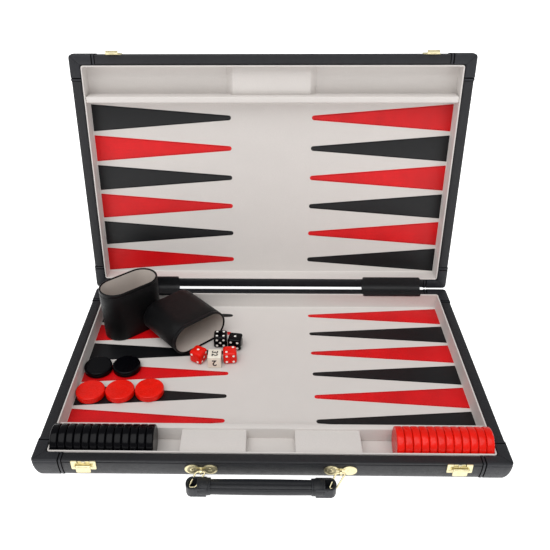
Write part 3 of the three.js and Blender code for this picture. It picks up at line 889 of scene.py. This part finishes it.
def dome(mesh, x, y, z, radius, height, material=0):
    """A rivet head that stands out towards -Y."""
    profile = [(0, -0.3), (radius, -0.3), (radius, 0.0)]
    for i in range(1, 5):
        angle = radians(90 * i / 5)
        profile.append((radius * cos(angle), height * sin(angle)))
    profile.append((0, height))
    lathe(mesh, profile, Matrix.Translation((x, y, z)) @ FACING_FRONT, 20, material)


def bar_along_x(mesh, x, half, radius, bevel, material=0):
    """A round bar on the lever's axis, centred on x."""
    length = 2 * half
    profile = [(0, 0), (radius - bevel, 0), (radius, bevel)]
    profile += [(radius, length - bevel), (radius - bevel, length), (0, length)]
    lathe(mesh, profile, Matrix.Translation((x - half, LEVER_Y, LEVER_Z)) @ ALONG_X, 24, material)


def plate(mesh, x, half, bottom, top, radii, back, face, bevel=0.18):
    """A flat plate whose lower and upper corners are rounded by the two radii."""
    low, high = radii
    corners = [(x - half, bottom, low), (x + half, bottom, low), (x + half, top, high), (x - half, top, high)]
    prism(mesh, rounded_outline(corners), back, face, bevel)


def add_latch_base(x, word):
    mesh = bmesh.new()
    right = [(PLATE_HALF_WIDTH, PLATE_BOTTOM, 1.1), (PLATE_HALF_WIDTH, PLATE_TOP, 0.7)]
    right += [(NOTCH_HALF_WIDTH, PLATE_TOP, 0.5), (NOTCH_HALF_WIDTH, NOTCH_BOTTOM, 0.6)]
    left = [(-half, z, radius) for half, z, radius in reversed(right)]
    corners = [(x + half, z, radius) for half, z, radius in (left[-1], *right, *left[:-1])]
    prism(mesh, rounded_outline(corners), PLATE_BACK, PLATE_FACE, 0.18)
    for offset in (-9.6, 9.6):
        dome(mesh, x + offset, PLATE_FACE, 16.6, 1.0, 0.4)
    for near in (-8.5, 7.3):
        soft_box(mesh, (x + near, LEVER_Y - BARREL_RADIUS, LEVER_Z - BARREL_RADIUS),
                 (x + near + 1.2, PLATE_FACE + 0.3, LEVER_Z + BARREL_RADIUS), 0.3)
    bar_along_x(mesh, x, 8.3, ROD_RADIUS, 0.1, 1)
    soft_box(mesh, (x - 1.5, PLATE_FACE + 0.2, 20.4), (x + 1.5, FRONT - 0.1, 23.4), 0.25, 2, 1)
    # A thin black sheet at the back of the notch: painted shade for the dark opening.
    soft_box(mesh, (x - 5.6, FRONT - 0.15, 20.7), (x + 5.6, FRONT + 0.2, 23.6), 0.1, 2, 2)
    materials = [brass, steel, black_print_and_notch_shade]
    piece(f"latch_base_{word}", mesh, materials, "base", None, [f"latch_plate_{word}"])


def add_latch_thumb(x, word):
    mesh = bmesh.new()
    face = LEVER_Y - BARREL_RADIUS
    plate(mesh, x, LEVER_HALF_WIDTH, LEVER_BOTTOM, LEVER_Z - 0.1, (1.4, 0.3), face + 1.1, face, 0.3)
    bar_along_x(mesh, x, 6.9, BARREL_RADIUS, 0.2)
    node = f"latch_lever_{word}"
    piece(f"latch_thumb_{word}", mesh, [brass], node, None, [node])


def add_latch_catch(x, word):
    mesh = bmesh.new()
    plate(mesh, x, CATCH_HALF_WIDTH, CATCH_BOTTOM, CATCH_TOP, (1.0, 0.5), PLATE_BACK, PLATE_FACE)
    for offset in (-6.6, 6.6):
        dome(mesh, x + offset, PLATE_FACE, 19.2, 1.2, 0.5)
    back, face = PLATE_FACE - 0.3, PLATE_FACE - 1.3
    plate(mesh, x, TONGUE_HALF_WIDTH, TONGUE_ROOT, TONGUE_TOP, (0.3, 1.1), back, face, 0.25)
    soft_box(mesh, (x - 3.8, PLATE_FACE - 0.8, 20.1), (x + 3.8, PLATE_FACE + 0.25, 22.4), 0.2)
    soft_box(mesh, (x - LIP_HALF_WIDTH, PLATE_FACE - 4.5, RIM_Z + 3.5),
             (x + LIP_HALF_WIDTH, back, TONGUE_TOP), 0.3)
    dome(mesh, x, face, 23.0, 0.9, 0.4, 1)
    piece(f"latch_catch_{word}", mesh, [brass, steel], "lid", TRAYS["lid"], [f"lid_catch_{word}"])


def add_latches():
    """The catches are given in the lid's own frame, where left and right change places."""
    for x, word in ((-LATCH_X, "left"), (LATCH_X, "right")):
        add_latch_base(x, word)
        add_latch_thumb(x, word)
        add_latch_catch(-x, word)


# ---------- handle ----------

HANDLE_X = 66.4
HANDLE_Z = 14.6
HANDLE_Y = FRONT - 4.0
GRIP_X = -9.2
GRIP_Y = FRONT - 14.6
GRIP_Z = 6.8
GRIP_HALF_LENGTH = 71.0
GRIP_HALF_WIDTH = 8.0
GRIP_HALF_HEIGHT = 6.3
BAND_FROM_END = 11.0
BAND_WIDTH = 12.6
LOBE_OFFSET = 8.6
LOBE_HALF_LENGTH = 7.2
LOBE_HALF_HEIGHT = 6.0
WAIST_SHARE = 0.45
RING_SHIFT = -8.0
RING_DROP = 1.4
RING_BEND = 2.4
RING_TOP_HALF = 4.6
RING_LOW_HALF = 3.2
WIRE_RADIUS = 0.9


def bow_tie(middle):
    """Two ovals that run into each other at a waist."""
    spread = asin(WAIST_SHARE)
    outline = []
    for start, centre in ((-pi, middle + LOBE_OFFSET), (0.0, middle - LOBE_OFFSET)):
        for i in range(21):
            angle = start + spread + (2 * pi - 2 * spread) * i / 20
            x = centre + LOBE_HALF_LENGTH * cos(angle)
            outline.append((x, HANDLE_Z + LOBE_HALF_HEIGHT * sin(angle)))
    return outline


def ring_path(x):
    """The wire's corners rounded: one bar in the plate's eye, the other in the grip's strap."""
    top = Vector((x, HANDLE_Y, HANDLE_Z))
    low = Vector((x + RING_SHIFT, GRIP_Y, GRIP_Z - RING_DROP))
    wide = Vector((RING_TOP_HALF, 0, 0))
    narrow = Vector((RING_LOW_HALF, 0, 0))
    corners = [top - wide, top + wide, low + narrow, low - narrow]
    points = []
    for i, corner in enumerate(corners):
        before, after = corners[i - 1], corners[(i + 1) % 4]
        start = corner + (before - corner).normalized() * RING_BEND
        end = corner + (after - corner).normalized() * RING_BEND
        points += [pulled(start, corner, end, k / 8) for k in range(9)]
    return points


# (radius, height) pairs of the raised disc on each lobe, and the eye's section.
LOBE_DISC = (
    (0, -0.2), (5.3, -0.2), (5.2, 0.12), (4.8, 0.24), (4.4, 0.12), (2.0, 0.08), (1.9, 0.3), (1.3, 0.55),
    (0.7, 0.64), (0, 0.66),
)
EYE_SECTION = (
    (1.6, -0.9), (1.8, -1.1), (2.3, -1.1), (2.5, -0.9), (2.5, 0.9), (2.3, 1.1), (1.8, 1.1), (1.6, 0.9),
)


def add_handle_mounts():
    for side, word in SIDES:
        x = side * HANDLE_X
        mesh = bmesh.new()
        prism(mesh, bow_tie(x), PLATE_BACK, PLATE_FACE, 0.2)
        for lobe in (-LOBE_OFFSET, LOBE_OFFSET):
            lathe(mesh, LOBE_DISC, Matrix.Translation((x + lobe, PLATE_FACE, HANDLE_Z)) @ FACING_FRONT, 32)
        turned_ring(mesh, EYE_SECTION, Matrix.Translation((x, HANDLE_Y, HANDLE_Z)) @ ALONG_X)
        soft_box(mesh, (x - 1.1, HANDLE_Y + 1.75, HANDLE_Z - 2.2),
                 (x + 1.1, PLATE_FACE + 0.3, HANDLE_Z + 2.2), 0.35)
        piece(f"handle_eye_{word}", mesh, [brass], "base", None, [f"handle_plate_{word}"])

        mesh = bmesh.new()
        wire_loop(mesh, ring_path(x), WIRE_RADIUS)
        piece(f"handle_wire_{word}", mesh, [brass], "handle", None, [f"handle_ring_{word}"])


def grip_section(x, half_width, half_height, grooves=0.0):
    """A padded oval section, pressed in along three seams."""
    ring = []
    power = 2.5
    for i, (c, s) in enumerate(circle(48)):
        y = copysign(abs(c) ** (2 / power), c) * half_width
        z = copysign(abs(s) ** (2 / power), s) * half_height
        dip = 0.0
        for seam in (97.5, 142.5, 225.0):
            away = abs((degrees(2 * pi * i / 48) - seam + 180) % 360 - 180)
            dip = max(dip, grooves * max(0.0, 1 - away / 8))
        scale = 1 - dip / max(half_width, half_height)
        ring.append(Vector((x, y * scale, z * scale)))
    return ring


PAD_HALF_LENGTH = GRIP_HALF_LENGTH - BAND_FROM_END - BAND_WIDTH
# (distance from the band's outer end, growth) pairs: a raised strip with a pressed line near each edge.
BAND_STEPS = (
    (0, -1.2), (0, -0.25), (0.35, 0.15), (1.4, 0.2), (1.8, -0.05), (2.2, 0.2), (BAND_WIDTH / 2, 0.3),
    (BAND_WIDTH - 2.2, 0.2), (BAND_WIDTH - 1.8, -0.05), (BAND_WIDTH - 1.4, 0.2), (BAND_WIDTH - 0.35, 0.15),
    (BAND_WIDTH, -0.25), (BAND_WIDTH, -1.2),
)
STRAP_HALF = 1.15
STRAP_REACH = GRIP_HALF_WIDTH - STRAP_HALF - 0.4
STRAP_BULGE = 0.72
STRAP_TURN_X = GRIP_HALF_LENGTH - STRAP_HALF - STRAP_REACH * STRAP_BULGE


def add_grip_strap(side, word, place):
    """The strap that bends round the wire ring at one end of the grip, with a floor and stitches."""
    mesh = bmesh.new()
    root_x = PAD_HALF_LENGTH + 4
    path = [(root_x, -STRAP_REACH), (STRAP_TURN_X - 4, -STRAP_REACH)]
    for i in range(17):
        turn = radians(-90 + 180 * i / 16)
        path.append((STRAP_TURN_X + STRAP_REACH * STRAP_BULGE * cos(turn), STRAP_REACH * sin(turn)))
    path += [(STRAP_TURN_X - 4, STRAP_REACH), (root_x, STRAP_REACH)]
    bottom, top = -GRIP_HALF_HEIGHT + 0.6, GRIP_HALF_HEIGHT - 0.8
    corners = ((-STRAP_HALF, bottom), (STRAP_HALF, bottom), (STRAP_HALF, top), (-STRAP_HALF, top))
    section = rounded_outline([(*corner, 0.7) for corner in corners], 3)
    rings = []
    for i, (x, y) in enumerate(path):
        tangent = heading(path, i)
        outward = Vector((tangent.y, -tangent.x, 0))
        points = [Vector((x, y, height)) + outward * across for across, height in section]
        rings.append([Vector((side * point.x, point.y, point.z)) for point in points])
    loft(mesh, rings)
    low_x, high_x = sorted((side * root_x, side * (STRAP_TURN_X + STRAP_REACH * 0.3)))
    floor_z = -GRIP_HALF_HEIGHT + 0.7
    soft_box(mesh, (low_x, -STRAP_REACH, floor_z), (high_x, STRAP_REACH, floor_z + 1), 0.3, 2)
    seam_y = -STRAP_REACH - STRAP_HALF - 0.02
    for height in (-4.4, 4.0):
        start = (side * (STRAP_TURN_X - 1), seam_y, height)
        end = (side * (PAD_HALF_LENGTH + BAND_WIDTH), seam_y, height)
        stitches(mesh, start, end, (0, -1, 0), 0.16, pitch=2.2, length=1.5)
    piece(f"grip_strap_{word}", mesh, [grip_leather, black_thread_and_seam_shade], "handle", place)


def add_grip():
    place = moved(GRIP_X, GRIP_Y, GRIP_Z)
    mesh = bmesh.new()
    rings = []
    for i in range(41):
        t = i / 40 * 2 - 1
        swell = 1 - 0.06 * t * t
        x = t * (PAD_HALF_LENGTH + 6)
        rings.append(grip_section(x, (GRIP_HALF_WIDTH - 0.5) * swell, (GRIP_HALF_HEIGHT - 0.3) * swell, 0.75))
    loft(mesh, rings)
    pad = piece("grip_pad", mesh, [grip_leather], "handle", place, ["handle_grip"], 50)

    for side, word in SIDES:
        mesh = bmesh.new()
        start = side * (PAD_HALF_LENGTH + BAND_WIDTH)
        loft(mesh, [
            grip_section(start - side * along, GRIP_HALF_WIDTH + grow - 0.1, GRIP_HALF_HEIGHT + grow + 0.3)
            for along, grow in BAND_STEPS
        ])
        raised = place @ moved(0, 0, 0.45)
        piece(f"grip_band_{word}", mesh, [grip_leather], "handle", raised)
        add_grip_strap(side, word, place)


# ---------- checkers, dice and cups ----------


CHECKER_EDGE = 1.5


def checker_profile(radius, height):
    """A turned disc with a full round edge and a faint hollow in each face."""
    half = height / 2
    flat = radius - CHECKER_EDGE
    profile = [(0, -half + 0.12), (radius * 0.55, -half + 0.1)]
    profile += [(flat - 1.6, -half + 0.02), (flat - 0.6, -half)]
    for i in range(7):
        angle = radians(-90 + 90 * i / 6)
        profile.append((flat + CHECKER_EDGE * cos(angle), -half + CHECKER_EDGE + CHECKER_EDGE * sin(angle)))
    return profile + [(r, -z) for r, z in reversed(profile)]


def add_checkers():
    for color, material in (("black", black_gloss), ("red", red_gloss)):
        for number in range(1, 16):
            node = f"checker_{color}_{number:02d}"
            low, high = (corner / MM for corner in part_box(node))
            centre = (low + high) / 2
            size = high - low
            lying = size.z < size.x
            radius = max(size) / 2
            height = min(size.x, size.z)
            turn = Matrix.Identity(4) if lying else ALONG_X
            mesh = bmesh.new()
            lathe(mesh, checker_profile(radius, height), Matrix.Translation(centre) @ turn, 72)
            body = frame["nodes"][node]["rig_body"]
            slot = f"{color}_checker"
            piece(f"{slot}_{number:02d}", mesh, [material], body, None, [node], 60)


FACES = {
    "top": Matrix.Identity(4),
    "bottom": turned("X", 180),
    "front": turned("X", 90),
    "back": turned("X", -90) @ turned("Z", 180),
    "right": turned("Y", 90) @ turned("Z", 90),
    "left": turned("Y", -90) @ turned("Z", -90),
}
PIPS = {
    1: [(0, 0)], 2: [(-1, -1), (1, 1)], 3: [(-1, -1), (0, 0), (1, 1)],
    4: [(-1, -1), (1, 1), (-1, 1), (1, -1)], 5: [(-1, -1), (1, 1), (-1, 1), (1, -1), (0, 0)],
    6: [(-1, -1), (-1, 0), (-1, 1), (1, -1), (1, 0), (1, 1)],
}
DICE = {
    "die_black_1": {"yaw": 0, "edge": 2.6, "top": 4, "front": 5, "right": 6},
    "die_black_2": {"yaw": -8.6, "edge": 2.6, "top": 1, "front": 4, "right": 2},
    "die_red_1": {"yaw": -30, "edge": 3.2, "top": 1, "front": 2, "right": 3, "mirrored": ("front", "back")},
    "die_red_2": {"yaw": 5.7, "edge": 3.2, "top": 2, "front": 4, "right": 1},
}


# (radius, height) pairs of a painted pip.
PIP = ((0, -0.3), (1.45, -0.3), (1.45, 0.0), (1.2, 0.05), (0.6, 0.06), (0, 0.06))


def block_middle(node):
    low, high = (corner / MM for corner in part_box(node))
    return (low + high) / 2, (high.z - low.z)


def rounded_cube(mesh, size, edge, segments):
    half = size / 2
    soft_box(mesh, (-half, -half, -half), (half, half, half), edge, segments)


def add_dice():
    for node, facts in DICE.items():
        centre, size = block_middle(node)
        mesh = bmesh.new()
        rounded_cube(mesh, size, facts["edge"], 6)
        values = {side: facts[side] for side in ("top", "front", "right")}
        for side, other in (("top", "bottom"), ("front", "back"), ("right", "left")):
            values[other] = 7 - values[side]
        for side, value in values.items():
            flip = -1 if side in facts.get("mirrored", ()) else 1
            for column, row in PIPS[value]:
                at = Matrix.Translation((flip * column * size * 0.25, row * size * 0.25, size / 2))
                lathe(mesh, PIP, FACES[side] @ at, 24, 1)
        material, slot = (black_gloss, "black_die") if "black" in node else (red_gloss, "red_die")
        place = moved(*centre) @ turned("Z", facts["yaw"])
        name = node.replace("die_", "rolled_die_")
        piece(name, mesh, [material, white_paint], node, place, [node], 60)


CUBE_NUMBERS = {
    "top": ("32", -90), "front": ("2", 180), "back": ("64", 0), "left": ("8", 90), "right": ("16", 0),
    "bottom": ("4", 0),
}


DIGIT_SWELL = 0.026
DIGIT_DEPTH = 0.05


def number_mesh(text, size):
    """A generic number as a thin raised mesh, centred on its own origin, in millimetres."""
    curve = bpy.data.curves.new("number", "FONT")
    curve.body = text
    curve.size = size
    curve.align_x = curve.align_y = "CENTER"
    curve.offset = size * DIGIT_SWELL
    curve.extrude = DIGIT_DEPTH
    maker = placed("number", curve)
    data = bpy.data.meshes.new_from_object(maker.evaluated_get(bpy.context.evaluated_depsgraph_get()))
    bpy.data.objects.remove(maker)
    bpy.data.curves.remove(curve)
    return data


def add_doubling_cube():
    centre, size = block_middle("doubling_cube")
    mesh = bmesh.new()
    rounded_cube(mesh, size, 0.7, 3)
    for side, (text, turn) in CUBE_NUMBERS.items():
        data = number_mesh(text, size * (0.62 if len(text) > 1 else 0.72))
        data.transform(FACES[side] @ Matrix.Translation((0, 0, size / 2)) @ turned("Z", turn))
        known = set(mesh.faces)
        mesh.from_mesh(data)
        for face in mesh.faces:
            if face not in known:
                face.material_index = 1
        bpy.data.meshes.remove(data)
    node = "doubling_cube"
    piece("numbered_cube", mesh, [ivory, black_print_and_notch_shade], node, moved(*centre), [node])


CUP_HALF_LENGTH = 37.7
CUP_HALF_THICKNESS = 20.0
CUP_HEIGHT = 67.5
CUP_DRAFT = 0.5
CUP_WALL = 2.4
CUP_FLOOR = 3.0
CUP_FOOT = 1.2
CUP_RIM = 1.2
CUP_SEAM_Z = CUP_HEIGHT - 4.6
LINING_LIP_Z = CUP_HEIGHT - 1.6
LINING_CORNER = 2.5


def cup_ring(inset, z):
    inset += CUP_DRAFT * (1 - z / CUP_HEIGHT)
    return stadium(CUP_HALF_LENGTH - inset, CUP_HALF_THICKNESS - inset, z)


def add_cup(name, body, place):
    mesh = bmesh.new()
    rings = [cup_ring(2.6, 0.5), cup_ring(2.4, 0.1), cup_ring(CUP_FOOT, 0.0)]
    rings += [cup_ring(CUP_FOOT * (1 - sine), CUP_FOOT * (1 - cosine)) for sine, cosine in quarter(4, 1)]
    rings += [cup_ring(0, z) for z in (6, 20, 34, 48, CUP_SEAM_Z - 0.6)]
    rings += [cup_ring(0.32, CUP_SEAM_Z), cup_ring(0.02, CUP_SEAM_Z + 0.5), cup_ring(0, CUP_SEAM_Z + 2)]
    for i in range(9):
        angle = radians(180 * i / 8)
        z = CUP_HEIGHT - CUP_RIM + CUP_RIM * sin(angle)
        rings.append(cup_ring(CUP_RIM - CUP_RIM * cos(angle), z))
    inside = CUP_RIM * 2
    rings += [cup_ring(inside, CUP_HEIGHT - 3), cup_ring(inside, CUP_FLOOR - 0.6)]
    loft(mesh, rings)
    thread = cup_ring(-0.02, CUP_SEAM_Z - 1.9)
    for i, start in enumerate(thread):
        end = thread[(i + 1) % len(thread)]
        outward = (end - start).cross(Vector((0, 0, 1)))
        if outward.dot((start + end) / 2) <= 0:
            outward = -outward
        stitches(mesh, start, end, outward, 0.18, pitch=2.9)
    piece(f"{name}_leather", mesh, [cup_leather, black_thread_and_seam_shade], body, place, [body], 50)

    mesh = bmesh.new()
    rings = [
        cup_ring(inside - 0.15, CUP_FLOOR - 0.5), cup_ring(inside - 0.15, LINING_LIP_Z - 0.5),
        cup_ring(inside, LINING_LIP_Z), cup_ring(CUP_WALL, LINING_LIP_Z + 0.1),
        cup_ring(CUP_WALL + 0.25, LINING_LIP_Z - 0.4),
    ]
    rings += [cup_ring(CUP_WALL + 0.3, z) for z in (50, 30, 10, CUP_FLOOR + LINING_CORNER)]
    for sine, cosine in quarter(4, 1):
        inset = CUP_WALL + 0.3 + LINING_CORNER * (1 - cosine)
        rings.append(cup_ring(inset, CUP_FLOOR + LINING_CORNER * (1 - sine)))
    loft(mesh, rings)
    # The lining's darker felt is painted shade for the inside of the cup.
    piece(f"{name}_lining", mesh, [shaded_cup_felt], body, place, sharp=50)


STANDING_CUP = {"at": (-172.5, 90.8, 4.7), "yaw": 40.2}
LYING_CUP = {"at": (-128.8, 100.95, 4.7 + CUP_HALF_THICKNESS), "heading": -48.0}


def add_cups():
    standing = moved(*STANDING_CUP["at"]) @ turned("Z", STANDING_CUP["yaw"])
    add_cup("standing_cup", "dice_cup_standing", standing)
    lying = moved(*LYING_CUP["at"]) @ turned("Z", LYING_CUP["heading"] - 90) @ turned("X", -90)
    add_cup("lying_cup", "dice_cup_lying", lying)


# ---------- assembly ----------

add_camera()
add_studio()
for tray_name, tray_place in TRAYS.items():
    add_shell(tray_name, tray_place)
    add_corner_patches(tray_name, tray_place)
    add_lining(tray_name, tray_place)
    add_rail(tray_name, tray_place)
    add_points(tray_name, tray_place)
add_blocks()
add_hinge_wraps()
dress_hinges()
add_latches()
add_handle_mounts()
add_grip()
add_checkers()
add_dice()
add_doubling_cube()
add_cups()
